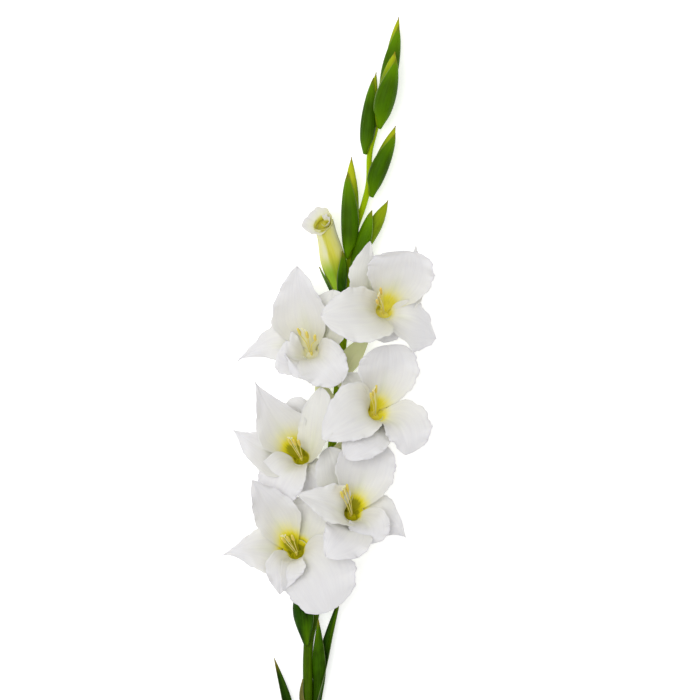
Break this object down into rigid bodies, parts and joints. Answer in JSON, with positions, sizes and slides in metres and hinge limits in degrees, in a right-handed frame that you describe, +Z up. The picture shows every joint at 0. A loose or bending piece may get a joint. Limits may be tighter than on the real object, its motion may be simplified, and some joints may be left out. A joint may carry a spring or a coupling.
{
  "type": "gladiolus",
  "caption": "Cut spike of white gladiolus lying on its back: open florets facing up, green buds towards the tip, bracts and leaves along the stem.",
  "frame": {"origin": "on the small flat under the stem's butt, the spot that the lying spike rests on, 15 mm from the cut end", "axes": "+Y along the stem from the butt to the tip of the spike, +Z up from the surface that it lies on, the way the florets face, +X to the right of one who looks down on it with the tip away"},
  "size_m": [0.1727, 0.7087, 0.0673],
  "materials": {
    "stem": "satin",
    "leaf": "satin",
    "dry_leaf": "matte",
    "bract": "satin",
    "bud": "satin",
    "petal": "matte",
    "young_petal": "matte",
    "stamen": "matte"
  },
  "bodies": {
    "root": {"stem": "stem", "leaf_blade": "leaf", "sheath_leaf": "dry_leaf", "lower_outer_bract": "bract", "lower_inner_bract": "bract", "floret_1_perianth": "petal", "floret_1_stamens": "stamen", "floret_1_outer_bract": "bract", "floret_1_inner_bract": "bract", "floret_2_perianth": "petal", "floret_2_stamens": "stamen", "floret_2_outer_bract": "bract", "floret_2_inner_bract": "bract", "floret_3_perianth": "petal", "floret_3_stamens": "stamen", "floret_3_outer_bract": "bract", "floret_3_inner_bract": "bract", "floret_4_perianth": "petal", "floret_4_stamens": "stamen", "floret_4_outer_bract": "bract", "floret_4_inner_bract": "bract", "floret_5_perianth": "petal", "floret_5_stamens": "stamen", "floret_5_outer_bract": "bract", "floret_5_inner_bract": "bract", "floret_6_perianth": "petal", "floret_6_stamens": "stamen", "floret_6_outer_bract": "bract", "floret_6_inner_bract": "bract", "opening_bud_petals": "young_petal", "opening_bud_outer_bract": "bract", "opening_bud_inner_bract": "bract", "bud_1_core": "bud", "bud_1_bract": "bract", "bud_2_core": "bud", "bud_2_bract": "bract", "bud_3_core": "bud", "bud_3_bract": "bract", "bud_4_core": "bud", "bud_4_bract": "bract", "bud_5_core": "bud", "bud_5_bract": "bract", "bud_6_core": "bud", "bud_6_bract": "bract"}
  },
  "joints": []
}
